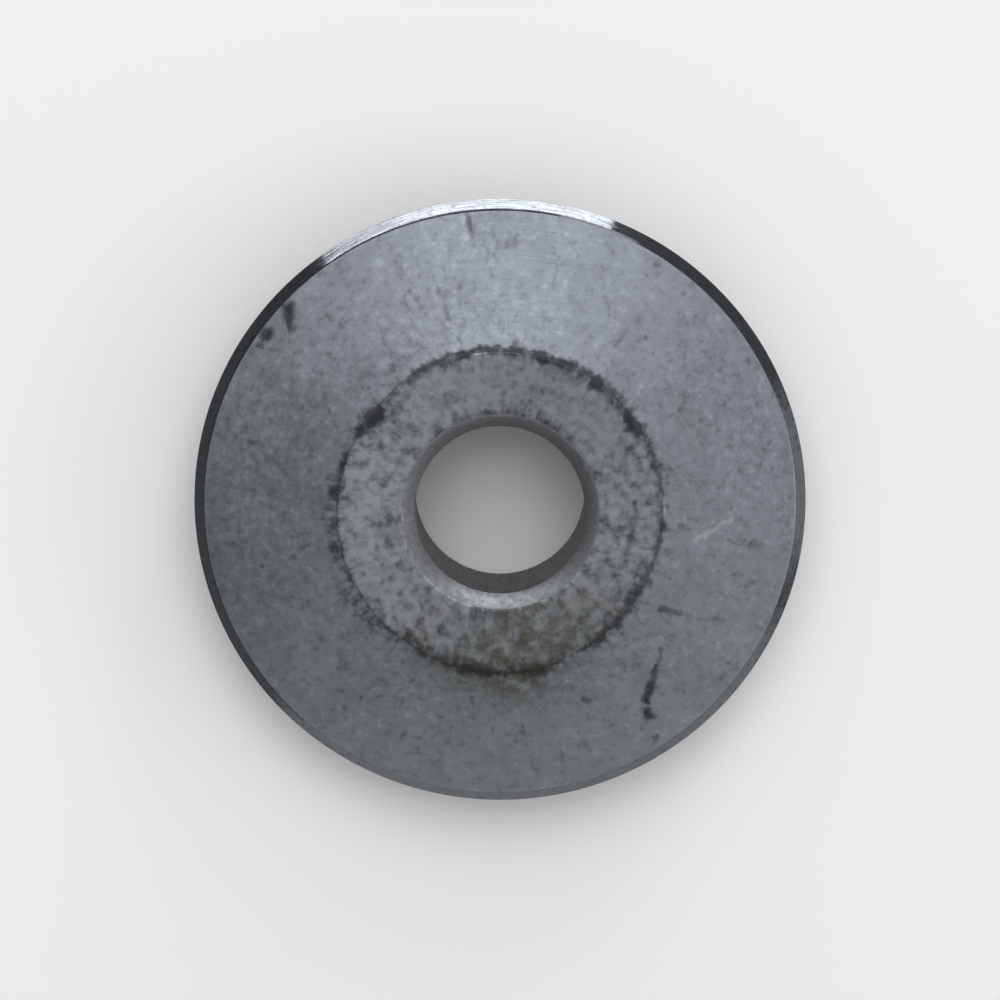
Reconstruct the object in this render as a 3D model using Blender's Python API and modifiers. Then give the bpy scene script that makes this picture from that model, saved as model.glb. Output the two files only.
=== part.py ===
"""Tile cutter wheel: one pressed, sintered and ground piece of tungsten carbide.

The wheel lies flat, with its axis along Z and the origin on that axis in the plane of the cutting
edge, and its two faces are the same. From the bore outwards a face has the bore's chamfer, the flat
hub face that runs between the cutter's cheeks, the low step at the hub's foot, the ground cone and
the steeper bevel that comes to the cutting edge.
"""

import math

import bpy
from mathutils import Vector

MM = 0.001

# Driving dimensions
WHEEL_DIAMETER = 22.0 * MM
HUB_THICKNESS = 4.8 * MM
HUB_DIAMETER = 11.7 * MM
HUB_STEP = 0.20 * MM
HUB_RIM_RADIUS = 0.06 * MM
HUB_FOOT_RADIUS = 0.10 * MM
AXLE_DIAMETER = 6.0 * MM
AXLE_CLEARANCE = 0.05 * MM
BORE_CHAMFER = 0.50 * MM
BEVEL_WIDTH = 0.36 * MM
EDGE_ANGLE = math.radians(96.0)
EDGE_LAND = 0.05 * MM

# Fineness of the turned surface
STEPS_ROUND = 120
FILLET_SEGMENTS = 4
MERGE_DISTANCE = 0.001 * MM
SHARP_ANGLE = math.radians(15.0)

# Colour and finish of the ground carbide
CARBIDE_COLOUR = (0.24, 0.255, 0.275, 1.0)
CARBIDE_ROUGHNESS = 0.50

# Sizes that follow from the driving dimensions
EDGE_RADIUS = WHEEL_DIAMETER / 2
HALF_THICKNESS = HUB_THICKNESS / 2
HUB_RADIUS = HUB_DIAMETER / 2
BORE_RADIUS = AXLE_DIAMETER / 2 + AXLE_CLEARANCE
HALF_LAND = EDGE_LAND / 2
BEVEL_RISE = BEVEL_WIDTH * math.tan(EDGE_ANGLE / 2)


def remove_old_objects():
    """Empty the scene that Blender opened with."""
    for obj in list(bpy.data.objects):
        bpy.data.objects.remove(obj)


def fillet(before, corner, after, radius):
    """Arc that rounds a corner of the section and meets both of its sides smoothly."""
    back = (before - corner).normalized()
    ahead = (after - corner).normalized()
    half_angle = back.angle(ahead) / 2
    reach = radius / math.tan(half_angle)
    centre = corner + (back + ahead).normalized() * (radius / math.sin(half_angle))
    first = corner + back * reach - centre
    last = corner + ahead * reach - centre
    start = math.atan2(first.y, first.x)
    sweep = math.remainder(math.atan2(last.y, last.x) - start, math.tau)
    arc = []
    for index in range(FILLET_SEGMENTS + 1):
        angle = start + sweep * index / FILLET_SEGMENTS
        arc.append(centre + radius * Vector((math.cos(angle), math.sin(angle))))
    return arc


def upper_section():
    """Section above the plane of the cutting edge, from the bore outwards, as (radius, height)."""
    chamfer_foot = Vector((BORE_RADIUS, HALF_THICKNESS - BORE_CHAMFER))
    chamfer_top = Vector((BORE_RADIUS + BORE_CHAMFER, HALF_THICKNESS))
    hub_rim = Vector((HUB_RADIUS, HALF_THICKNESS))
    hub_foot = Vector((HUB_RADIUS, HALF_THICKNESS - HUB_STEP))
    bevel_top = Vector((EDGE_RADIUS - BEVEL_WIDTH, HALF_LAND + BEVEL_RISE))
    edge = Vector((EDGE_RADIUS, HALF_LAND))
    # The step's wall is shared by the two fillets, so neither may take more than half of it.
    widest_fillet = HUB_STEP / 2
    rim_arc = fillet(chamfer_top, hub_rim, hub_foot, min(HUB_RIM_RADIUS, widest_fillet))
    foot_arc = fillet(hub_rim, hub_foot, bevel_top, min(HUB_FOOT_RADIUS, widest_fillet))
    return [chamfer_foot, chamfer_top, *rim_arc, *foot_arc, bevel_top, edge]


def wheel_section():
    """Closed section of the whole wheel, which runs down its outer side from face to face."""
    upper = upper_section()
    lower = [Vector((point.x, -point.y)) for point in reversed(upper)]
    return upper + lower


def section_object(name, section, collection):
    """Object that holds the section as a closed loop of edges in the XZ plane."""
    corners = [(point.x, 0.0, point.y) for point in section]
    sides = [(index, (index + 1) % len(corners)) for index in range(len(corners))]
    mesh = bpy.data.meshes.new(name)
    mesh.from_pydata(corners, sides, [])
    obj = bpy.data.objects.new(name, mesh)
    collection.objects.link(obj)
    return obj


def turn(obj):
    """Turn a section into a solid with a Screw modifier, and apply it."""
    screw = obj.modifiers.new("turn", "SCREW")
    screw.axis = "Z"
    screw.angle = math.tau
    screw.steps = STEPS_ROUND
    screw.render_steps = STEPS_ROUND
    screw.use_merge_vertices = True
    screw.merge_threshold = MERGE_DISTANCE
    bpy.context.view_layer.objects.active = obj
    obj.select_set(True)
    bpy.ops.object.modifier_apply(modifier=screw.name)
    obj.data.shade_smooth()
    obj.data.set_sharp_from_angle(angle=SHARP_ANGLE)


def tungsten_carbide():
    """Material of the wheel: a mid-grey metal, ground to a satin finish."""
    material = bpy.data.materials.new("tungsten_carbide")
    material.use_nodes = True
    shader = material.node_tree.nodes["Principled BSDF"]
    shader.inputs["Base Color"].default_value = CARBIDE_COLOUR
    shader.inputs["Metallic"].default_value = 1.0
    shader.inputs["Roughness"].default_value = CARBIDE_ROUGHNESS
    return material


def main():
    """Build the wheel in a collection of its own."""
    remove_old_objects()
    collection = bpy.data.collections.new("tile_cutter_wheel")
    bpy.context.scene.collection.children.link(collection)
    wheel = section_object("cutting_wheel", wheel_section(), collection)
    turn(wheel)
    wheel.data.materials.append(tungsten_carbide())


main()
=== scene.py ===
"""Looks of the tile cutter wheel: a sintered and ground wheel of tungsten carbide on a pale floor.

The wheel is modelled again over its CAD node with the surface that the real one has: ground flanks
and a honed edge, pressed hub faces that grinding has only skimmed, and a ragged ring of dark
residue in the sintered skin at the foot of each hub.
"""

import logging
import math
from dataclasses import dataclass, field
from enum import Enum

import bpy
import numpy as np
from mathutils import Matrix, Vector, noise


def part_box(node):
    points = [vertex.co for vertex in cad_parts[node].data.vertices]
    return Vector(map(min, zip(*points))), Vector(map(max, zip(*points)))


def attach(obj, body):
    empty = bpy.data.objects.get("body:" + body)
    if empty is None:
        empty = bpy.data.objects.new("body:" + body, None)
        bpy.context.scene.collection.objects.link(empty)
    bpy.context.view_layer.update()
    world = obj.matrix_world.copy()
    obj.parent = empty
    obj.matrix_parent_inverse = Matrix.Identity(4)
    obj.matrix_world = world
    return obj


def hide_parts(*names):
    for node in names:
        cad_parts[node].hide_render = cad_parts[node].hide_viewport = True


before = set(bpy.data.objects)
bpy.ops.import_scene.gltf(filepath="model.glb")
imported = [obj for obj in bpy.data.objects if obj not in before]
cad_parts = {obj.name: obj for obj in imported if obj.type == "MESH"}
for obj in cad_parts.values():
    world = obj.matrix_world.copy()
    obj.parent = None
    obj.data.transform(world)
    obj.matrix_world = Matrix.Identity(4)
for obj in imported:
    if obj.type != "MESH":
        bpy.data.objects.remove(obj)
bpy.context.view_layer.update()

MM = 0.001
NOISE_MIDDLE = 0.5

log = logging.getLogger("tile_cutter_wheel")

Colour = tuple[float, float, float, float]
Point2 = tuple[float, float]


class Zone(Enum):
    """Zones of the wheel's surface. The value is the material slot of the zone's faces."""

    FACE = 0
    BEVEL = 1
    CHAMFER = 2
    BORE = 3


def deselect_all() -> None:
    """Leave edit mode and deselect every object."""
    if bpy.context.object and bpy.context.object.mode != "OBJECT":
        bpy.ops.object.mode_set(mode="OBJECT")
    bpy.ops.object.select_all(action="DESELECT")


@dataclass(frozen=True)
class WheelSizes:
    """Sizes of the wheel in metres. The overall ones come from the CAD node's box."""

    edge_radius: float
    half_thickness: float
    hub_radius: float = 5.85 * MM
    hub_step: float = 0.20 * MM
    hub_rim_radius: float = 0.06 * MM
    hub_foot_radius: float = 0.10 * MM
    bore_radius: float = 3.05 * MM
    bore_chamfer: float = 0.50 * MM
    chamfer_rounding: float = 0.05 * MM
    chamfer_lip: float = 0.32 * MM
    bevel_width: float = 0.36 * MM
    edge_angle: float = math.radians(96.0)
    edge_land: float = 0.05 * MM
    bevel_rounding: float = 0.06 * MM

    @property
    def chamfer_radius(self) -> float:
        """Radius at which the bore's chamfer meets the hub face."""
        return self.bore_radius + self.bore_chamfer

    @property
    def foot_height(self) -> float:
        """Height of the hub's foot, where the flank would meet the step without its fillet."""
        return self.half_thickness - self.hub_step

    @property
    def bevel_radius(self) -> float:
        """Radius at which the flank meets the bevel."""
        return self.edge_radius - self.bevel_width

    @property
    def bevel_height(self) -> float:
        """Height at which the flank meets the bevel."""
        return self.edge_land / 2 + self.bevel_width * math.tan(self.edge_angle / 2)


@dataclass
class SectionPath:
    """A path in the wheel's section, drawn stretch by stretch as (radius, height)."""

    points: list[Vector] = field(default_factory=list)

    def line(self, end: Vector, spacing: float) -> None:
        """Go straight to a point in even steps.

        Args:
            end: The point that the stretch ends at.
            spacing: The longest step.
        """
        start = self.points[-1]
        steps = max(1, math.ceil((end - start).length / spacing))
        for index in range(1, steps + 1):
            self.points.append(start.lerp(end, index / steps))

    def widening_line(self, end: Vector, first: float, last: float) -> None:
        """Go straight to a point in steps that widen evenly.

        Args:
            end: The point that the stretch ends at.
            first: The first step's length.
            last: The last step's length.
        """
        start = self.points[-1]
        length = (end - start).length
        steps = max(2, round(2 * length / (first + last)))
        widths = np.linspace(first, last, steps)
        for share in np.cumsum(widths) / widths.sum():
            self.points.append(start.lerp(end, float(share)))

    def rounded(self, before: Vector, corner: Vector, after: Vector, radius: float, steps: int) -> None:
        """Go round a corner on an arc that meets both of its sides smoothly.

        Args:
            before: A point on the side that comes to the corner.
            corner: The corner itself.
            after: A point on the side that leaves the corner.
            radius: The arc's radius.
            steps: The number of segments in the arc.
        """
        back = (before - corner).normalized()
        ahead = (after - corner).normalized()
        half_angle = back.angle(ahead) / 2
        reach = radius / math.tan(half_angle)
        centre = corner + (back + ahead).normalized() * (radius / math.sin(half_angle))
        first = corner + back * reach - centre
        last = corner + ahead * reach - centre
        start = math.atan2(first.y, first.x)
        sweep = math.remainder(math.atan2(last.y, last.x) - start, math.tau)
        for index in range(steps + 1):
            angle = start + sweep * index / steps
            self.points.append(centre + radius * Vector((math.cos(angle), math.sin(angle))))


@dataclass(frozen=True)
class Patch:
    """A soft-edged patch on a face, placed in degrees and millimetres. Without a radius it is a sector."""

    azimuth: float
    spread: float
    strength: float
    radius: float = 0.0
    reach: float = math.inf

    def share(self, radius: float, azimuth: float) -> float:
        """Strength of the patch at a place.

        Args:
            radius: The place's distance from the axis, in metres.
            azimuth: Its angle round the axis, in radians.

        Returns:
            The strength, which fades smoothly from the patch's middle.
        """
        round_it = math.remainder(azimuth - math.radians(self.azimuth), math.tau) / math.radians(self.spread)
        across = (radius / MM - self.radius) / self.reach
        return self.strength * math.exp(-(round_it**2) - across**2)


@dataclass(frozen=True)
class WearAndPaintedLight:
    """Where a face is rough, dirty, brownish or lighter and darker in tone, with painted shade on the bore's
    rim and on the left of the flank, and a painted dark reflection on most of the bevel.

    The lower face is the upper one turned, without its brownish patches.
    """

    ring: tuple[Patch, ...] = (
        Patch(22.0, 14.0, 0.39, 5.84, 0.26),
        Patch(45.0, 22.0, 0.54, 5.86, 0.29),
        Patch(75.0, 18.0, 0.56, 5.86, 0.28),
        Patch(101.0, 20.0, 0.56, 5.88, 0.22),
        Patch(119.0, 8.0, 0.50, 5.86, 0.24),
        Patch(140.0, 10.0, 0.61, 5.74, 0.35),
        Patch(153.0, 8.0, 0.36, 5.88, 0.26),
        Patch(167.0, 12.0, 0.44, 5.95, 0.32),
        Patch(192.0, 16.0, 0.52, 6.11, 0.35),
        Patch(220.0, 14.0, 0.54, 6.09, 0.37),
        Patch(238.0, 10.0, 0.39, 5.68, 0.35),
        Patch(262.0, 19.0, 0.84, 5.86, 0.39),
        Patch(284.0, 7.0, 0.62, 6.03, 0.32),
        Patch(308.0, 12.0, 0.73, 5.87, 0.37),
        Patch(326.0, 10.0, 0.54, 5.68, 0.35),
        Patch(345.0, 16.0, 0.36, 5.8, 0.35),
        Patch(5.0, 12.0, 0.24, 5.86, 0.26),
    )
    blotches_and_rim_shade: tuple[Patch, ...] = (
        Patch(34.5, 3.8, 0.72, 5.66, 0.24),
        Patch(53.8, 2.2, 0.60, 5.76, 0.24),
        Patch(66.5, 2.5, 0.35, 5.86, 0.20),
        Patch(74.0, 2.6, 0.60, 5.85, 0.26),
        Patch(102.5, 2.0, 0.40, 5.83, 0.16),
        Patch(141.6, 2.6, 0.70, 5.55, 0.20),
        Patch(145.6, 1.6, 0.50, 5.62, 0.15),
        Patch(138.0, 1.5, 0.40, 5.60, 0.15),
        Patch(149.4, 1.4, 0.45, 5.86, 0.15),
        Patch(163.5, 2.6, 0.48, 5.88, 0.18),
        Patch(173.5, 2.2, 0.40, 6.05, 0.20),
        Patch(194.0, 3.0, 0.35, 6.16, 0.18),
        Patch(234.0, 3.0, 0.34, 5.55, 0.20),
        Patch(354.5, 2.8, 0.50, 5.90, 0.18),
        # Residue dots on the top of the bore's rim, deepened as painted shade where the chamfer turns away
        # from the light.
        Patch(50.0, 6.0, 0.50, 3.70, 0.17),
        Patch(66.0, 6.0, 0.60, 3.74, 0.18),
        Patch(83.0, 5.0, 0.36, 3.70, 0.15),
        Patch(98.0, 8.0, 0.48, 3.70, 0.16),
        Patch(113.0, 5.0, 0.36, 3.72, 0.15),
    )
    hub_mottle: tuple[Patch, ...] = (
        Patch(95.0, 34.0, -0.9),
        Patch(155.0, 26.0, 0.5),
        Patch(255.0, 40.0, 0.8),
        Patch(330.0, 36.0, 1.0),
        Patch(15.0, 24.0, 0.2),
    )
    chamfer_ticks: tuple[Patch, ...] = (
        Patch(60.0, 7.0, 1.0),
        Patch(98.0, 22.0, 0.8),
        Patch(131.0, 8.0, 0.6),
        Patch(274.0, 18.0, 0.80),
    )
    granular: tuple[Patch, ...] = (
        Patch(128.0, 38.0, 0.7, 6.7, 1.7),
        Patch(175.0, 34.0, 0.9, 9.0, 1.6),
        Patch(20.0, 24.0, 0.5, 9.0, 1.5),
        Patch(97.0, 7.0, 0.9, 10.0, 0.6),
        Patch(230.0, 34.0, 0.6, 7.0, 1.4),
        Patch(300.0, 20.0, 0.6, 6.9, 1.0),
    )
    # Brownish, darker patches, most of them towards the bottom of the upper face.
    brownish: tuple[Patch, ...] = (
        Patch(268.0, 27.0, 0.9, 6.1, 0.60),
        Patch(280.0, 33.0, 1.0, 4.75, 1.10),
        Patch(278.0, 25.0, 0.50, 6.80, 0.62),
        Patch(173.0, 13.0, 0.16, 8.2, 1.2),
    )
    tone: tuple[Patch, ...] = (
        Patch(172.0, 52.0, 0.7, 4.7, 1.1),
        Patch(350.0, 24.0, 0.4, 4.8, 1.1),
        Patch(66.0, 40.0, -0.65, 4.7, 1.1),
        # Painted shade: this patch darkens the flank on the left towards the edge.
        Patch(193.0, 22.0, -1.0, 10.8, 1.3),
        Patch(130.0, 25.0, 0.40, 9.4, 2.0),
    )
    # Painted dark reflection: these patches darken the bevel round most of the wheel.
    edge_dark_reflection: tuple[Patch, ...] = (
        Patch(42.0, 20.0, 1.3),
        Patch(90.0, 40.0, 1.5),
        Patch(150.0, 40.0, 1.5),
        Patch(200.0, 22.0, 1.6),
        Patch(342.0, 10.0, 0.6),
    )
    underside_turn: float = math.radians(139.0)

    def share(self, patches: tuple[Patch, ...], place: Vector) -> float:
        """Share of a kind of wear, tone or painted light at a place.

        Args:
            patches: The patches of that kind.
            place: The place on the wheel, in metres.

        Returns:
            The share, from 0 to 1, or from -1 for a kind that works both ways.
        """
        radius = math.hypot(place.x, place.y)
        azimuth = math.atan2(place.y, place.x)
        if place.z < 0.0:
            azimuth += self.underside_turn
        return max(-1.0, min(1.0, sum(patch.share(radius, azimuth) for patch in patches)))


@dataclass(frozen=True)
class SinteredSkin:
    """The pressed and sintered skin, and what grinding leaves of it.

    The skin is a rough surface over the ground one. Where it lies lower than the ground surface,
    the grinding wheel hasn't reached it, and it stays rough and a little hollow.
    """

    sizes: WheelSizes
    wear: WearAndPaintedLight
    grain_scale: float = 3100.0
    grain_smoothness: float = 0.8
    grain_narrowing: float = 2.1
    grain_octaves: int = 3
    patch_scale: float = 900.0
    grain_height: float = 0.013 * MM
    patch_height: float = 0.006 * MM
    hub_cover: float = 0.0055 * MM
    mottle_drop: float = 0.0035 * MM
    ring_drop: float = 0.012 * MM
    rim_drop: float = 0.006 * MM
    rim_reach: float = 0.07 * MM
    tick_drop: float = 0.014 * MM
    tick_reach: float = 0.26 * MM
    flank_cover: float = 0.020 * MM
    flank_rise: float = 0.022
    deepest: float = 0.030 * MM

    @property
    def full_level(self) -> float:
        """Height of the skin at which the ground surface under it is whole."""
        return self.flank_cover / 2

    def residue_and_shade(self, place: Vector) -> float:
        """Share of dark residue at a place, round the hub's foot, and on the bore's rim together with
        painted shade.
        """
        ring = self.wear.share(self.wear.ring, place)
        return min(1.0, ring + self.wear.share(self.wear.blotches_and_rim_shade, place))

    def cover(self, place: Vector) -> float:
        """Mean height of the skin over the ground surface, negative where it was hardly ground.

        Args:
            place: The place on the wheel, in metres.

        Returns:
            The height in metres.
        """
        radius = math.hypot(place.x, place.y)
        to_chamfer = (radius - self.sizes.chamfer_radius) / self.tick_reach
        past_hub = max(0.0, radius - self.sizes.hub_radius)
        cover = min(self.flank_cover, self.hub_cover + past_hub * self.flank_rise)
        if past_hub == 0.0:
            ticks = self.wear.share(self.wear.chamfer_ticks, place) * math.exp(-(to_chamfer**2))
            cover -= self.mottle_drop * self.wear.share(self.wear.hub_mottle, place)
            cover -= self.tick_drop * ticks
        to_rim = (radius - self.sizes.hub_radius) / self.rim_reach
        cover -= self.rim_drop * math.exp(-(to_rim**2))
        return cover - self.ring_drop * self.residue_and_shade(place)

    def height(self, place: Vector) -> float:
        """Height of the skin over the ground surface at a place on the wheel.

        Args:
            place: The place, in metres.

        Returns:
            The height in metres, noise included.
        """
        grain = noise.fractal(
            place * self.grain_scale, self.grain_smoothness, self.grain_narrowing, self.grain_octaves
        )
        patch = noise.noise(place * self.patch_scale)
        return self.cover(place) + self.grain_height * grain + self.patch_height * patch


@dataclass(frozen=True)
class Grain:
    """A fractal noise: cells to each unit of place, octaves beyond the first, and how strong those are."""

    scale: float
    detail: float
    roughness: float = 0.5


@dataclass(frozen=True)
class Ramp:
    """A smooth step from a start to an end, as a value goes from low to high."""

    low: float
    high: float
    start: float = 0.0
    end: float = 1.0


@dataclass(frozen=True)
class Tint:
    """A factor on a colour, which sets in smoothly as a value goes from low to high."""

    low: float
    high: float
    factor: float


@dataclass
class MaterialBench:
    """Adds and links the nodes of one material."""

    name: str

    def __post_init__(self) -> None:
        """Start the material with its Principled shader and the place on the piece in millimetres."""
        self.material = bpy.data.materials.new(self.name)
        self.material.use_nodes = True
        self.tree = self.material.node_tree
        self.shader = self.tree.nodes["Principled BSDF"]
        coordinates = self.tree.nodes.new("ShaderNodeTexCoord")
        mapping = self.tree.nodes.new("ShaderNodeMapping")
        mapping.inputs["Scale"].default_value = (1 / MM,) * 3
        self.tree.links.new(coordinates.outputs["Object"], mapping.inputs["Vector"])
        self.place = mapping.outputs["Vector"]

    def put(self, socket: bpy.types.NodeSocket, value: object) -> None:
        """Link a socket to another one, or set its value, cut to the numbers that it holds.

        Args:
            socket: The input socket.
            value: Another node's output socket, a number, or a tuple of numbers.
        """
        if isinstance(value, bpy.types.NodeSocket):
            self.tree.links.new(value, socket)
        elif isinstance(value, tuple):
            socket.default_value = value[: len(socket.default_value)]
        else:
            socket.default_value = value

    def math(self, operation: str, *values: object, clamp: bool = False) -> bpy.types.NodeSocket:
        """Work a sum on numbers.

        Args:
            operation: The Math node's operation.
            values: Its inputs, each a socket or a number.
            clamp: Whether the result is kept between 0 and 1.

        Returns:
            The result's socket.
        """
        node = self.tree.nodes.new("ShaderNodeMath")
        node.operation = operation
        node.use_clamp = clamp
        for socket, value in zip(node.inputs, values):
            self.put(socket, value)
        return node.outputs[0]

    def vector(self, operation: str, *values: object) -> bpy.types.Node:
        """Work a sum on vectors.

        Args:
            operation: The Vector Math node's operation.
            values: Its inputs, each a socket or a tuple of numbers.

        Returns:
            The node.
        """
        node = self.tree.nodes.new("ShaderNodeVectorMath")
        node.operation = operation
        for socket, value in zip(node.inputs, values):
            self.put(socket, value)
        return node

    def noise(self, place: object, grain: Grain) -> bpy.types.NodeSocket:
        """Fractal noise between 0 and 1.

        Args:
            place: The socket that gives the place.
            grain: The noise's fineness.

        Returns:
            The noise's socket.
        """
        node = self.tree.nodes.new("ShaderNodeTexNoise")
        node.inputs["Scale"].default_value = grain.scale
        node.inputs["Detail"].default_value = grain.detail
        node.inputs["Roughness"].default_value = grain.roughness
        self.put(node.inputs["Vector"], place)
        return node.outputs["Fac"]

    def centred(self, value: object) -> bpy.types.NodeSocket:
        """Move a noise so that it swings round 0."""
        return self.math("SUBTRACT", value, NOISE_MIDDLE)

    def drift(self, place: object, scale: float, reach: float) -> bpy.types.NodeSocket:
        """Move a place a little, by smooth noise.

        Args:
            place: The place's socket.
            scale: The noise's cells to the millimetre.
            reach: How far the noise can move the place, in millimetres.

        Returns:
            The moved place's socket.
        """
        node = self.tree.nodes.new("ShaderNodeTexNoise")
        node.inputs["Scale"].default_value = scale
        self.put(node.inputs["Vector"], self.place)
        swing = self.vector("SUBTRACT", node.outputs["Color"], (NOISE_MIDDLE,) * 3).outputs["Vector"]
        return self.vector("MULTIPLY_ADD", swing, (reach,) * 3, place).outputs["Vector"]

    def span(self, value: object, ramp: Ramp) -> bpy.types.NodeSocket:
        """Put a number through a ramp.

        Args:
            value: The number's socket.
            ramp: The ramp.

        Returns:
            The result's socket.
        """
        node = self.tree.nodes.new("ShaderNodeMapRange")
        node.interpolation_type = "SMOOTHSTEP"
        node.inputs["From Min"].default_value = ramp.low
        node.inputs["From Max"].default_value = ramp.high
        node.inputs["To Min"].default_value = ramp.start
        node.inputs["To Max"].default_value = ramp.end
        self.put(node.inputs["Value"], value)
        return node.outputs["Result"]

    def mix(self, share: object, first: object, second: object) -> bpy.types.NodeSocket:
        """Mix two colours.

        Args:
            share: The second colour's share.
            first: The first colour, as a socket or numbers.
            second: The second colour.

        Returns:
            The mixed colour's socket.
        """
        node = self.tree.nodes.new("ShaderNodeMix")
        node.data_type = "RGBA"
        self.put(node.inputs["Factor"], share)
        self.put(node.inputs["A"], first)
        self.put(node.inputs["B"], second)
        return node.outputs["Result"]

    def blend(self, share: object, first: object, second: object) -> bpy.types.NodeSocket:
        """Blend two numbers.

        Args:
            share: The second number's share.
            first: The first number, or its socket.
            second: The second number, or its socket.

        Returns:
            The blended number's socket.
        """
        node = self.tree.nodes.new("ShaderNodeMix")
        node.data_type = "FLOAT"
        self.put(node.inputs["Factor"], share)
        self.put(node.inputs["A"], first)
        self.put(node.inputs["B"], second)
        return node.outputs["Result"]

    def tint(self, colour: object, value: object, tint: Tint) -> bpy.types.NodeSocket:
        """Darken or lighten a colour where a value calls for it.

        Args:
            colour: The colour, as a socket or numbers.
            value: The value's socket.
            tint: The tint.

        Returns:
            The tinted colour's socket.
        """
        scaled = self.vector("SCALE", colour)
        scaled.inputs["Scale"].default_value = tint.factor
        return self.mix(self.span(value, Ramp(tint.low, tint.high)), colour, scaled.outputs["Vector"])

    def attribute(self, name: str) -> bpy.types.NodeSocket:
        """Read a number that is stored on the piece's points.

        Args:
            name: The attribute's name.

        Returns:
            The number's socket.
        """
        node = self.tree.nodes.new("ShaderNodeAttribute")
        node.attribute_name = name
        return node.outputs["Fac"]

    def bump(self, height: object, depth: float, normal: object = None) -> bpy.types.NodeSocket:
        """Turn a height into a normal.

        Args:
            height: The height's socket, from 0 to 1.
            depth: The real height that 1 stands for, in metres.
            normal: The normal that the bump is added to.

        Returns:
            The normal's socket.
        """
        node = self.tree.nodes.new("ShaderNodeBump")
        node.inputs["Distance"].default_value = depth
        self.put(node.inputs["Height"], height)
        if normal is not None:
            self.put(node.inputs["Normal"], normal)
        return node.outputs["Normal"]

    def turned_place(self, along: float) -> bpy.types.NodeSocket:
        """Place for marks that run round the axis.

        Args:
            along: How many noise cells a mark's radian round the axis counts for.

        Returns:
            A vector whose X and Y go round the axis and whose Z is the radius in millimetres.
        """
        flat = self.vector("MULTIPLY", self.place, (1.0, 1.0, 0.0)).outputs["Vector"]
        radius = self.vector("LENGTH", flat).outputs["Value"]
        direction = self.vector("NORMALIZE", flat).outputs["Vector"]
        round_it = self.vector("SCALE", direction)
        round_it.inputs["Scale"].default_value = along
        parts = self.tree.nodes.new("ShaderNodeSeparateXYZ")
        self.put(parts.inputs[0], round_it.outputs["Vector"])
        joined = self.tree.nodes.new("ShaderNodeCombineXYZ")
        self.put(joined.inputs["X"], parts.outputs["X"])
        self.put(joined.inputs["Y"], parts.outputs["Y"])
        self.put(joined.inputs["Z"], radius)
        return joined.outputs["Vector"]


@dataclass(frozen=True)
class Scratch:
    """A mark on the upper face, as polar places in millimetres and degrees."""

    start: Point2
    end: Point2
    width: float
    strength: float
    bright: bool = False

    def ends(self) -> tuple[Vector, Vector]:
        """Both ends of the mark.

        Returns:
            The ends in the plane of the edge, in millimetres.
        """
        places = []
        for radius, azimuth in (self.start, self.end):
            turn = math.radians(azimuth)
            places.append(Vector((radius * math.cos(turn), radius * math.sin(turn), 0.0)))
        return places[0], places[1]


FACE_MARKS = (
    Scratch((7.1, -9.3), (8.35, -3.2), 0.17, 0.55, bright=True),
    Scratch((6.85, -32.1), (7.15, -31.4), 0.24, 0.78),
    Scratch((7.15, -31.4), (7.5, -30.6), 0.17, 0.62),
    Scratch((7.5, -30.6), (8.3, -30.0), 0.13, 0.30),
    Scratch((8.3, -30.0), (9.1, -27.6), 0.16, 0.35),
    Scratch((7.78, -41.7), (8.07, -45.7), 0.15, 0.50),
    Scratch((8.07, -45.7), (8.46, -50.1), 0.19, 0.80),
    Scratch((8.46, -50.1), (8.85, -53.6), 0.28, 1.0),
    Scratch((9.22, -54.9), (9.42, -55.3), 0.28, 1.0),
    Scratch((10.2, -56.8), (10.35, -57.2), 0.18, 0.60),
    Scratch((10.38, 137.0), (10.2, 138.1), 0.40, 1.0),
    Scratch((10.2, 138.1), (9.85, 139.6), 0.28, 1.0),
    Scratch((10.36, 143.2), (10.4, 144.2), 0.34, 1.0),
    Scratch((10.38, 146.2), (10.4, 146.6), 0.20, 0.70),
    Scratch((10.45, 96.2), (10.3, 96.1), 0.17, 0.60),
    Scratch((10.05, 95.7), (9.8, 95.4), 0.19, 0.42),
    Scratch((9.5, 86.4), (9.55, 87.0), 0.26, 0.20),
    Scratch((9.3, 233.0), (9.32, 233.4), 0.15, 0.50),
    Scratch((7.62, -66.4), (7.7, -65.6), 0.22, 0.75),
    Scratch((9.4, 18.0), (9.6, 18.5), 0.14, 0.30),
    Scratch((4.85, 4.0), (4.9, -5.0), 0.15, 0.35),
    Scratch((4.8, -8.0), (4.75, -17.0), 0.16, 0.40),
    Scratch((4.85, 262.0), (4.9, 264.0), 0.20, 0.45),
    Scratch((4.8, 278.0), (4.85, 281.0), 0.22, 0.50),
)


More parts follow.
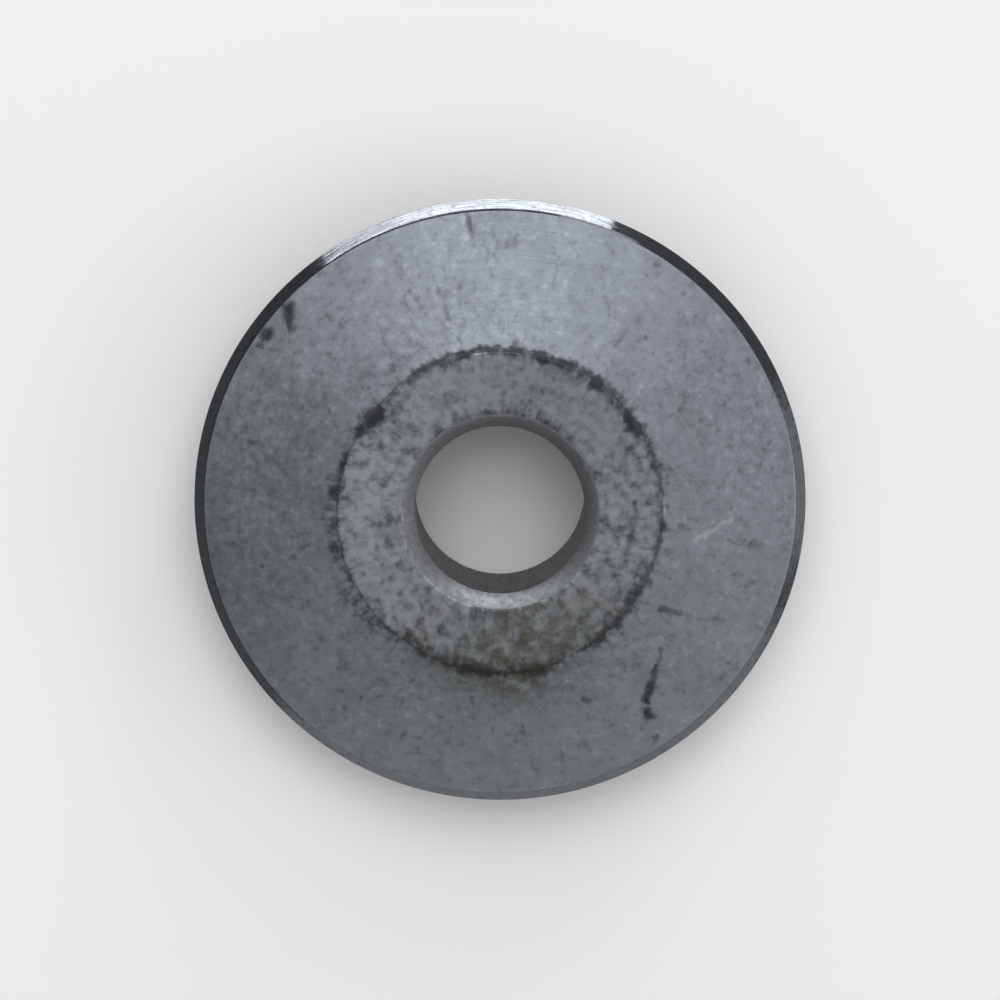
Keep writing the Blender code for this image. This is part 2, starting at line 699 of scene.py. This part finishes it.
@dataclass(frozen=True)
class FaceFinish:
    """A face of the wheel: the ground flank, the lightly ground hub, and sintered skin in its hollows."""

    lines: Grain = Grain(14.0, 3.0, 0.65)
    lines_round: float = 0.5
    line_tint: Tint = Tint(0.35, 0.70, 1.07)
    line_roughness: Ramp = Ramp(0.3, 0.7, -0.05, 0.05)
    line_depth: float = 0.0016 * MM

    flank_colour: Colour = (0.231, 0.252, 0.277, 1.0)
    hub_colour: Colour = (0.248, 0.268, 0.290, 1.0)
    skin_colour: Colour = (0.158, 0.166, 0.174, 1.0)
    residue_and_shade_colour: Colour = (0.044, 0.048, 0.054, 1.0)
    brownish_residue_colour: Colour = (0.038, 0.038, 0.031, 1.0)
    brownish_colour: Colour = (0.092, 0.088, 0.068, 1.0)
    mark_colour: Colour = (0.045, 0.048, 0.055, 1.0)
    bright_mark_colour: Colour = (0.40, 0.42, 0.44, 1.0)
    flank_roughness: float = 0.50
    hub_roughness: float = 0.52
    skin_roughness: float = 0.68

    broad: Grain = Grain(0.50, 3.0)
    broad_tint: Tint = Tint(0.40, 0.62, 0.93)
    cloud: Grain = Grain(1.1, 2.0)
    cloud_tint: Tint = Tint(0.42, 0.64, 0.925)
    grit: Grain = Grain(2.9, 4.0, 0.68)
    grit_density: float = 0.055
    pit_tint: Tint = Tint(0.52, 0.72, 0.74)
    glint_tint: Tint = Tint(0.46, 0.31, 1.24)

    mottle: Grain = Grain(3.0, 3.0, 0.58)
    mottle_tint: Tint = Tint(0.42, 0.66, 0.80)
    height_tint: Tint = Tint(0.10, 1.00, 1.22)
    warm: Grain = Grain(0.45, 2.0)
    warm_share: Ramp = Ramp(0.45, 0.60)
    warm_factors: tuple[float, float, float] = (1.02, 0.985, 0.96)
    tone_reach: float = 0.20

    fine: Grain = Grain(22.0, 3.0, 0.6)
    fine_reach: float = 1.1
    skin_share: Ramp = Ramp(0.40, -0.75)
    skin_grain: Grain = Grain(8.0, 4.0, 0.65)
    skin_tint: Tint = Tint(0.40, 0.62, 0.76)
    skin_depth: float = 0.010 * MM

    brownish_grain: Grain = Grain(2.4, 4.0, 0.55)
    brownish_share: Ramp = Ramp(0.24, 0.62)
    brownish_strength: float = 0.84

    dots: Grain = Grain(3.3, 3.0, 0.55)
    dot_reach: float = 2.0
    dashes: Grain = Grain(1.3, 2.0)
    dashes_round: float = 18.0
    dash_reach: float = 2.1
    level_reach: float = -0.10
    residue_share: Ramp = Ramp(0.04, 0.92)
    residue_strength: Ramp = Ramp(0.25, 0.95, 0.60, 0.94)

    waver_scale: float = 2.2
    waver_reach: float = 0.3
    fray_scale: float = 8.0
    fray_reach: float = 0.2
    mark_core: float = 0.2
    gaps: Grain = Grain(3.4, 3.0)
    gap_share: Ramp = Ramp(0.34, 0.60, 0.76, 1.0)
    mark_depth: float = 0.008 * MM

    def marks(self, bench: MaterialBench, bright: bool) -> bpy.types.NodeSocket:
        """Share of the face's dark or bright marks at a place.

        Args:
            bench: The material's bench.
            bright: Whether the bright marks are wanted, or the dark ones.

        Returns:
            The share's socket.
        """
        moved = bench.drift(bench.place, self.waver_scale, self.waver_reach)
        moved = bench.drift(moved, self.fray_scale, self.fray_reach)
        flat = bench.vector("MULTIPLY", moved, (1.0, 1.0, 0.0)).outputs[0]
        total: object = 0.0
        for mark in FACE_MARKS:
            if mark.bright != bright:
                continue
            start, end = mark.ends()
            along = end - start
            from_start = bench.vector("SUBTRACT", flat, tuple(start)).outputs[0]
            measure = tuple(along / along.length_squared)
            reach = bench.vector("DOT_PRODUCT", from_start, measure).outputs["Value"]
            nearest = bench.vector("SCALE", tuple(along))
            bench.put(nearest.inputs["Scale"], bench.math("ADD", reach, 0.0, clamp=True))
            off = bench.vector("SUBTRACT", from_start, nearest.outputs[0]).outputs[0]
            distance = bench.vector("LENGTH", off).outputs["Value"]
            near = bench.span(distance, Ramp(self.mark_core * mark.width, mark.width, mark.strength, 0.0))
            total = bench.math("MAXIMUM", total, near)
        broken = bench.span(bench.noise(bench.place, self.gaps), self.gap_share)
        parts = bench.tree.nodes.new("ShaderNodeSeparateXYZ")
        bench.put(parts.inputs[0], bench.place)
        on_top = bench.math("GREATER_THAN", parts.outputs["Z"], 0.0)
        return bench.math("MULTIPLY", bench.math("MULTIPLY", total, broken), on_top)

    def flank(self, bench: MaterialBench, lines: bpy.types.NodeSocket) -> bpy.types.NodeSocket:
        """Colour of the ground flank, with its grinding lines, cloudy tone and fine specks.

        Args:
            bench: The material's bench.
            lines: The grinding lines' socket.

        Returns:
            The colour's socket.
        """
        grit = bench.noise(bench.place, self.grit)
        density = bench.math("MULTIPLY", bench.attribute("granular"), self.grit_density)
        colour = bench.tint(self.flank_colour, lines, self.line_tint)
        colour = bench.tint(colour, bench.noise(bench.place, self.broad), self.broad_tint)
        colour = bench.tint(colour, bench.noise(bench.place, self.cloud), self.cloud_tint)
        colour = bench.tint(colour, bench.math("ADD", grit, density), self.pit_tint)
        return bench.tint(colour, bench.math("SUBTRACT", grit, density), self.glint_tint)

    def hub(self, bench: MaterialBench, level: bpy.types.NodeSocket) -> bpy.types.NodeSocket:
        """Colour of the lightly ground hub, a fine mottle that is brighter on its high places.

        Args:
            bench: The material's bench.
            level: The socket of the skin's level.

        Returns:
            The colour's socket.
        """
        colour = bench.tint(self.hub_colour, bench.noise(bench.place, self.mottle), self.mottle_tint)
        colour = bench.tint(colour, level, self.height_tint)
        warmer = bench.vector("MULTIPLY", colour, self.warm_factors).outputs["Vector"]
        return bench.mix(bench.span(bench.noise(bench.place, self.warm), self.warm_share), colour, warmer)

    def residue_and_shade(self, bench: MaterialBench, level: bpy.types.NodeSocket) -> bpy.types.NodeSocket:
        """Share of dark residue and of painted shade on the bore's rim: dots and short radial dashes,
        blackest where it is thickest.

        Args:
            bench: The material's bench.
            level: The socket of the skin's level.

        Returns:
            The share's socket.
        """
        thick = bench.attribute("residue_and_shade")
        dots = bench.centred(bench.noise(bench.place, self.dots))
        dashes = bench.centred(bench.noise(bench.turned_place(self.dashes_round), self.dashes))
        share = bench.math("MULTIPLY_ADD", dots, self.dot_reach, thick)
        share = bench.math("MULTIPLY_ADD", dashes, self.dash_reach, share)
        share = bench.math("MULTIPLY_ADD", level, self.level_reach, share)
        strength = bench.span(thick, self.residue_strength)
        return bench.math("MULTIPLY", bench.span(share, self.residue_share), strength)

    def material(self) -> bpy.types.Material:
        """Build the finish.

        Returns:
            The material.
        """
        bench = MaterialBench("ground_carbide")
        fine = bench.centred(bench.noise(bench.place, self.fine))
        level = bench.math("MULTIPLY_ADD", fine, self.fine_reach, bench.attribute("level"))
        skin = bench.span(level, self.skin_share)
        lines = bench.noise(bench.turned_place(self.lines_round), self.lines)
        grains = bench.noise(bench.place, self.skin_grain)

        colour = bench.mix(bench.attribute("hub"), self.flank(bench, lines), self.hub(bench, level))
        # Broad tone, with painted shade on the left of the flank towards the edge.
        toned = bench.vector("SCALE", colour)
        tone = bench.math("MULTIPLY_ADD", bench.attribute("tone"), self.tone_reach, 1.0)
        bench.put(toned.inputs["Scale"], tone)
        skin_colour = bench.tint(self.skin_colour, grains, self.skin_tint)
        colour = bench.mix(skin, toned.outputs["Vector"], skin_colour)
        dark_share = bench.span(bench.noise(bench.place, self.brownish_grain), self.brownish_share)
        brownish = bench.math("MULTIPLY", bench.attribute("brownish"), dark_share)
        colour = bench.mix(bench.math("MULTIPLY", brownish, self.brownish_strength), colour, self.brownish_colour)
        residue_and_shade = bench.mix(brownish, self.residue_and_shade_colour, self.brownish_residue_colour)
        colour = bench.mix(self.residue_and_shade(bench, level), colour, residue_and_shade)
        dark = self.marks(bench, bright=False)
        colour = bench.mix(dark, colour, self.mark_colour)
        colour = bench.mix(self.marks(bench, bright=True), colour, self.bright_mark_colour)
        bench.put(bench.shader.inputs["Base Color"], colour)

        ground = bench.blend(bench.attribute("hub"), self.flank_roughness, self.hub_roughness)
        ground = bench.math("ADD", ground, bench.span(lines, self.line_roughness))
        bench.put(bench.shader.inputs["Roughness"], bench.blend(skin, ground, self.skin_roughness))
        bench.shader.inputs["Metallic"].default_value = 1.0

        smooth = bench.math("SUBTRACT", 1.0, skin)
        normal = bench.bump(bench.math("MULTIPLY", lines, smooth), self.line_depth)
        normal = bench.bump(bench.math("MULTIPLY", grains, skin), self.skin_depth, normal)
        normal = bench.bump(bench.math("SUBTRACT", 1.0, dark), self.mark_depth, normal)
        bench.put(bench.shader.inputs["Normal"], normal)
        return bench.material


@dataclass(frozen=True)
class BevelFinish:
    """Finely honed carbide on the bevel that makes the cutting edge, most of it darkened as a painted dark
    reflection.
    """

    pale_colour: Colour = (0.138, 0.147, 0.160, 1.0)
    dark_reflection_colour: Colour = (0.043, 0.046, 0.051, 1.0)
    dark_reflection_share: Ramp = Ramp(0.10, 0.80)
    lines: Grain = Grain(22.0, 3.0, 0.6)
    lines_round: float = 0.4
    line_tint: Tint = Tint(0.40, 0.65, 0.86)
    line_depth: float = 0.0008 * MM
    nicks: Grain = Grain(5.0, 3.0, 0.6)
    nick_tint: Tint = Tint(0.52, 0.68, 0.72)
    nick_reach: float = 0.8
    roughness: Ramp = Ramp(0.3, 0.7, 0.06, 0.14)

    def material(self) -> bpy.types.Material:
        """Build the finish.

        Returns:
            The material.
        """
        bench = MaterialBench("honed_edge")
        lines = bench.noise(bench.turned_place(self.lines_round), self.lines)
        nicks = bench.noise(bench.place, self.nicks)
        uneven = bench.math("MULTIPLY", bench.centred(nicks), self.nick_reach)
        # Painted dark reflection: the bevel's colour darkens where the stored share is high.
        dark_share = bench.span(bench.math("ADD", bench.attribute("dark_share"), uneven), self.dark_reflection_share)
        colour = bench.mix(dark_share, self.pale_colour, self.dark_reflection_colour)
        colour = bench.tint(colour, lines, self.line_tint)
        colour = bench.tint(colour, nicks, self.nick_tint)
        bench.put(bench.shader.inputs["Base Color"], colour)
        bench.put(bench.shader.inputs["Roughness"], bench.span(lines, self.roughness))
        bench.shader.inputs["Metallic"].default_value = 1.0
        bench.put(bench.shader.inputs["Normal"], bench.bump(lines, self.line_depth))
        return bench.material


@dataclass(frozen=True)
class PressedFinish:
    """Carbide left as it was pressed and sintered, in the bore and on its chamfers."""

    name: str
    colour: Colour
    roughness: Ramp
    grain: Grain = Grain(5.0, 4.0, 0.6)
    grain_tint: Tint = Tint(0.38, 0.64, 0.84)
    grain_depth: float = 0.003 * MM

    def material(self) -> bpy.types.Material:
        """Build the finish.

        Returns:
            The material.
        """
        bench = MaterialBench(self.name)
        grains = bench.noise(bench.place, self.grain)
        bench.put(bench.shader.inputs["Base Color"], bench.tint(self.colour, grains, self.grain_tint))
        bench.put(bench.shader.inputs["Roughness"], bench.span(grains, self.roughness))
        bench.shader.inputs["Metallic"].default_value = 1.0
        bench.put(bench.shader.inputs["Normal"], bench.bump(grains, self.grain_depth))
        return bench.material


CHAMFER_FINISH = PressedFinish("pressed_chamfer", (0.215, 0.223, 0.234, 1.0), Ramp(0.3, 0.7, 0.50, 0.64))
# The bore is darker than its chamfers: partly darker sintered skin, partly a painted dark reflection.
BORE_FINISH = PressedFinish("pressed_bore_dark_reflection", (0.110, 0.114, 0.120, 1.0), Ramp(0.3, 0.7, 0.42, 0.56))


@dataclass(frozen=True)
class Fineness:
    """How finely a half of the section is drawn, as the length of its steps."""

    hub: float
    foot: float
    flank: float


@dataclass
class CuttingWheel:
    """The whole wheel, one piece of carbide."""

    sizes: WheelSizes
    upper: Fineness = Fineness(hub=0.055 * MM, foot=0.040 * MM, flank=0.26 * MM)
    lower: Fineness = Fineness(hub=0.085 * MM, foot=0.070 * MM, flank=0.40 * MM)
    bore_spacing: float = 0.50 * MM
    bevel_spacing: float = 0.15 * MM
    chamfer_foot_steps: int = 3
    chamfer_lip_steps: int = 6
    fillet_steps: int = 4
    bevel_corner_steps: int = 2
    flank_end: float = 0.02
    face_margin: float = 0.02 * MM
    steps_round: int = 540
    merge_distance: float = 0.001 * MM
    sharp_angle: float = math.radians(24.0)

    def half_path(self, fineness: Fineness) -> list[Vector]:
        """Draw one half of the section, as (radius, distance from the plane of the edge).

        Args:
            fineness: How finely the half is drawn.

        Returns:
            Its points from the middle of the bore's wall out to the cutting edge.
        """
        sizes = self.sizes
        bore_middle = Vector((sizes.bore_radius, 0.0))
        chamfer_foot = Vector((sizes.bore_radius, sizes.half_thickness - sizes.bore_chamfer))
        chamfer_top = Vector((sizes.chamfer_radius, sizes.half_thickness))
        hub_rim = Vector((sizes.hub_radius, sizes.half_thickness))
        hub_foot = Vector((sizes.hub_radius, sizes.foot_height))
        bevel_top = Vector((sizes.bevel_radius, sizes.bevel_height))
        edge = Vector((sizes.edge_radius, sizes.edge_land / 2))
        path = SectionPath([bore_middle])
        path.line(chamfer_foot - Vector((0.0, sizes.chamfer_rounding)), self.bore_spacing)
        path.rounded(bore_middle, chamfer_foot, chamfer_top, sizes.chamfer_rounding, self.chamfer_foot_steps)
        path.rounded(chamfer_foot, chamfer_top, hub_rim, sizes.chamfer_lip, self.chamfer_lip_steps)
        path.line(hub_rim - Vector((sizes.hub_rim_radius, 0.0)), fineness.hub)
        path.points.pop()
        path.rounded(chamfer_top, hub_rim, hub_foot, sizes.hub_rim_radius, self.fillet_steps)
        path.rounded(hub_rim, hub_foot, bevel_top, sizes.hub_foot_radius, self.fillet_steps)
        path.widening_line(bevel_top.lerp(hub_foot, self.flank_end), fineness.foot, fineness.flank)
        path.rounded(hub_foot, bevel_top, edge, sizes.bevel_rounding, self.bevel_corner_steps)
        path.line(edge, self.bevel_spacing)
        return path.points

    def section(self) -> list[Vector]:
        """The closed section, which starts and ends in the middle of the bore's wall."""
        lower = [Vector((point.x, -point.y)) for point in reversed(self.half_path(self.lower))]
        return self.half_path(self.upper) + lower

    def turned(self) -> bpy.types.Object:
        """Draw the section by extruding a point along it, and turn it round the axis.

        Returns:
            The closed wheel, with its faces outwards.
        """
        deselect_all()
        places = [Vector((point.x, 0.0, point.y)) for point in self.section()]
        bpy.ops.mesh.primitive_plane_add(size=MM, location=places[0])
        wheel = bpy.context.object
        wheel.name = "carbide_wheel"
        bpy.ops.object.mode_set(mode="EDIT")
        bpy.ops.mesh.merge(type="CENTER")
        for before, after in zip(places, places[1:]):
            bpy.ops.mesh.extrude_region_move(TRANSFORM_OT_translate={"value": after - before})
        bpy.ops.mesh.select_all(action="SELECT")
        bpy.ops.mesh.remove_doubles(threshold=self.merge_distance)
        bpy.ops.object.mode_set(mode="OBJECT")
        bpy.ops.object.transform_apply(location=True, rotation=True, scale=True)

        bpy.ops.object.modifier_add(type="SCREW")
        turn = wheel.modifiers[-1]
        turn.axis = "Z"
        turn.angle = math.tau
        turn.steps = self.steps_round
        turn.render_steps = self.steps_round
        turn.use_merge_vertices = True
        turn.merge_threshold = self.merge_distance
        bpy.ops.object.modifier_apply(modifier=turn.name)
        bpy.ops.object.mode_set(mode="EDIT")
        bpy.ops.mesh.select_all(action="SELECT")
        bpy.ops.mesh.remove_doubles(threshold=self.merge_distance)
        bpy.ops.mesh.normals_make_consistent(inside=False)
        bpy.ops.object.mode_set(mode="OBJECT")
        return wheel

    def zone(self, radius: float, height: float) -> Zone:
        """Zone that a face belongs to.

        Args:
            radius: Distance of the face's middle from the axis.
            height: Distance of the face's middle from the plane of the edge.

        Returns:
            The zone.
        """
        if radius > self.sizes.bevel_radius:
            return Zone.BEVEL
        if radius > self.sizes.chamfer_radius:
            return Zone.FACE
        if height > self.sizes.half_thickness - self.sizes.bore_chamfer:
            return Zone.CHAMFER
        return Zone.BORE

    def roughen(self, wheel: bpy.types.Object) -> None:
        """Sink the sintered skin that grinding left, and store what a face is like on its points.

        Args:
            wheel: The turned wheel, whose mesh is changed.
        """
        wear = WearAndPaintedLight()
        skin = SinteredSkin(self.sizes, wear)
        mesh = wheel.data
        names = ("level", "residue_and_shade", "brownish", "granular", "tone", "hub", "dark_share")
        notes: dict[str, list[float]] = {name: [] for name in names}
        moves = []
        for vertex in mesh.vertices:
            place = vertex.co
            radius = math.hypot(place.x, place.y)
            on_face = self.sizes.chamfer_radius - self.face_margin <= radius < self.sizes.bevel_radius
            height = skin.height(place) if on_face else skin.flank_cover
            level = height / skin.full_level
            moves.append(-vertex.normal * min(skin.deepest, max(0.0, -height)))
            notes["level"].append(min(1.0, max(-1.0, level)))
            notes["residue_and_shade"].append(skin.residue_and_shade(place) if on_face else 0.0)
            notes["brownish"].append(wear.share(wear.brownish, place) if place.z > 0.0 else 0.0)
            notes["granular"].append(wear.share(wear.granular, place))
            notes["tone"].append(wear.share(wear.tone, place))
            notes["hub"].append(1.0 if radius < self.sizes.hub_radius else 0.0)
            notes["dark_share"].append(wear.share(wear.edge_dark_reflection, place))
        for vertex, move in zip(mesh.vertices, moves):
            vertex.co += move
        for name, values in notes.items():
            mesh.attributes.new(name, "FLOAT", "POINT").data.foreach_set("value", values)

    def dress(self, wheel: bpy.types.Object) -> None:
        """Give each zone its finish, and shade the wheel smooth with crisp ground corners.

        Args:
            wheel: The wheel.
        """
        finishes = {
            Zone.FACE: FaceFinish(),
            Zone.BEVEL: BevelFinish(),
            Zone.CHAMFER: CHAMFER_FINISH,
            Zone.BORE: BORE_FINISH,
        }
        mesh = wheel.data
        for zone in Zone:
            mesh.materials.append(finishes[zone].material())
        for face in mesh.polygons:
            middle = face.center
            face.material_index = self.zone(math.hypot(middle.x, middle.y), abs(middle.z)).value
        mesh.shade_smooth()
        mesh.set_sharp_from_angle(angle=self.sharp_angle)

    def build(self) -> bpy.types.Object:
        """Model, dress and roughen the wheel, and let it stand for its CAD node.

        Returns:
            The finished wheel.
        """
        wheel = self.turned()
        self.dress(wheel)
        self.roughen(wheel)
        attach(wheel, "root")
        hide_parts("cutting_wheel")
        return wheel


@dataclass(frozen=True)
class Softbox:
    """A soft lamp that faces the wheel, at angles in degrees, sizes in metres and a power in watts."""

    name: str
    azimuth: float
    elevation: float
    distance: float
    width: float
    length: float
    power: float

    def build(self) -> bpy.types.Object:
        """Place the lamp.

        Returns:
            The lamp.
        """
        turn = math.radians(self.azimuth)
        rise = math.radians(self.elevation)
        away = Vector((math.cos(turn) * math.cos(rise), math.sin(turn) * math.cos(rise), math.sin(rise)))
        data = bpy.data.lights.new(self.name, "AREA")
        data.shape = "RECTANGLE"
        data.size = self.width
        data.size_y = self.length
        data.energy = self.power
        lamp = bpy.data.objects.new(self.name, data)
        lamp.location = away * self.distance
        lamp.rotation_mode = "QUATERNION"
        lamp.rotation_quaternion = away.to_track_quat("Z", "Y")
        bpy.context.scene.collection.objects.link(lamp)
        return lamp


SOFTBOXES = (
    Softbox("key_softbox", 88.0, 56.0, distance=0.45, width=0.36, length=0.33, power=0.76),
    Softbox("low_softbox", 98.0, 4.2, distance=0.50, width=0.66, length=0.026, power=1.48),
    Softbox("side_softbox", 67.0, 14.0, distance=0.50, width=0.16, length=0.16, power=0.42),
    Softbox("fill_softbox", 350.0, 20.0, distance=0.50, width=0.30, length=0.20, power=0.30),
)


@dataclass(frozen=True)
class Studio:
    """Pale floor, plain soft light, and the camera at the photograph's angle."""

    floor_height: float
    floor_size: float = 4.0
    floor_colour: Colour = (0.93, 0.93, 0.93, 1.0)
    floor_roughness: float = 0.9
    floor_specular: float = 0.1
    horizon: float = 0.85
    horizon_rise: float = 0.05
    zenith: float = 0.46
    zenith_rise: float = 0.80
    lean: tuple[float, float, float] = (0.26, -0.10, 0.0)
    camera_tilt: float = math.radians(10.5)
    camera_distance: float = 0.76
    view_width: float = 36.0 * MM
    sensor_width: float = 36.0
    clip_start: float = 0.01
    clip_end: float = 20.0

    def floor(self) -> bpy.types.Object:
        """Lay the floor.

        Returns:
            The floor.
        """
        deselect_all()
        bpy.ops.mesh.primitive_plane_add(size=self.floor_size, location=(0.0, 0.0, self.floor_height))
        floor = bpy.context.object
        floor.name = "floor"
        material = bpy.data.materials.new("pale_floor")
        material.use_nodes = True
        shader = material.node_tree.nodes["Principled BSDF"]
        shader.inputs["Base Color"].default_value = self.floor_colour
        shader.inputs["Roughness"].default_value = self.floor_roughness
        shader.inputs["Specular IOR Level"].default_value = self.floor_specular
        floor.data.materials.append(material)
        return floor

    def sky(self) -> None:
        """Light the studio softly, paler towards the horizon, and brighter on the right and in front."""
        world = bpy.data.worlds.new("studio")
        bpy.context.scene.world = world
        world.use_nodes = True
        tree = world.node_tree
        background = tree.nodes["Background"]
        coordinates = tree.nodes.new("ShaderNodeTexCoord")
        parts = tree.nodes.new("ShaderNodeSeparateXYZ")
        fade = tree.nodes.new("ShaderNodeMapRange")
        fade.interpolation_type = "SMOOTHSTEP"
        fade.inputs["From Min"].default_value = self.horizon_rise
        fade.inputs["From Max"].default_value = self.zenith_rise
        fade.inputs["To Min"].default_value = self.horizon
        fade.inputs["To Max"].default_value = self.zenith
        lean = tree.nodes.new("ShaderNodeVectorMath")
        lean.operation = "DOT_PRODUCT"
        lean.inputs[1].default_value = self.lean
        share = tree.nodes.new("ShaderNodeMath")
        share.operation = "ADD"
        share.inputs[1].default_value = 1.0
        strength = tree.nodes.new("ShaderNodeMath")
        strength.operation = "MULTIPLY"
        tree.links.new(coordinates.outputs["Generated"], parts.inputs[0])
        tree.links.new(parts.outputs["Z"], fade.inputs["Value"])
        tree.links.new(coordinates.outputs["Generated"], lean.inputs[0])
        tree.links.new(lean.outputs["Value"], share.inputs[0])
        tree.links.new(fade.outputs["Result"], strength.inputs[0])
        tree.links.new(share.outputs[0], strength.inputs[1])
        tree.links.new(strength.outputs[0], background.inputs["Strength"])
        background.inputs["Color"].default_value = (1.0, 1.0, 1.0, 1.0)

    def lamps(self) -> None:
        """Hang the lamps."""
        for softbox in SOFTBOXES:
            softbox.build()

    def camera(self) -> bpy.types.Object:
        """Set up the camera, which looks down on the wheel.

        Returns:
            The camera.
        """
        data = bpy.data.cameras.new("camera")
        data.sensor_width = self.sensor_width
        data.lens = data.sensor_width * self.camera_distance / self.view_width
        data.clip_start = self.clip_start
        data.clip_end = self.clip_end
        camera = bpy.data.objects.new("camera", data)
        back = Vector((0.0, math.sin(self.camera_tilt), math.cos(self.camera_tilt)))
        camera.location = back * self.camera_distance
        camera.rotation_euler = (-self.camera_tilt, 0.0, 0.0)
        bpy.context.scene.collection.objects.link(camera)
        bpy.context.scene.camera = camera
        return camera

    def build(self) -> None:
        """Build the whole studio."""
        self.floor()
        self.sky()
        self.lamps()
        self.camera()
        bpy.context.scene.view_settings.view_transform = "Standard"


def report_piece(piece: bpy.types.Object) -> None:
    """Log a piece's name and how many triangles it has."""
    triangles = sum(len(face.vertices) - 2 for face in piece.data.polygons)
    log.info("%s: %d triangles", piece.name, triangles)


def main() -> None:
    """Build the wheel and the studio, and report each piece."""
    logging.basicConfig(level=logging.INFO, format="%(name)s: %(message)s")
    low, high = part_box("cutting_wheel")
    sizes = WheelSizes(edge_radius=high.x, half_thickness=high.z)
    report_piece(CuttingWheel(sizes).build())
    Studio(floor_height=low.z).build()


if __name__ == "__main__":
    main()
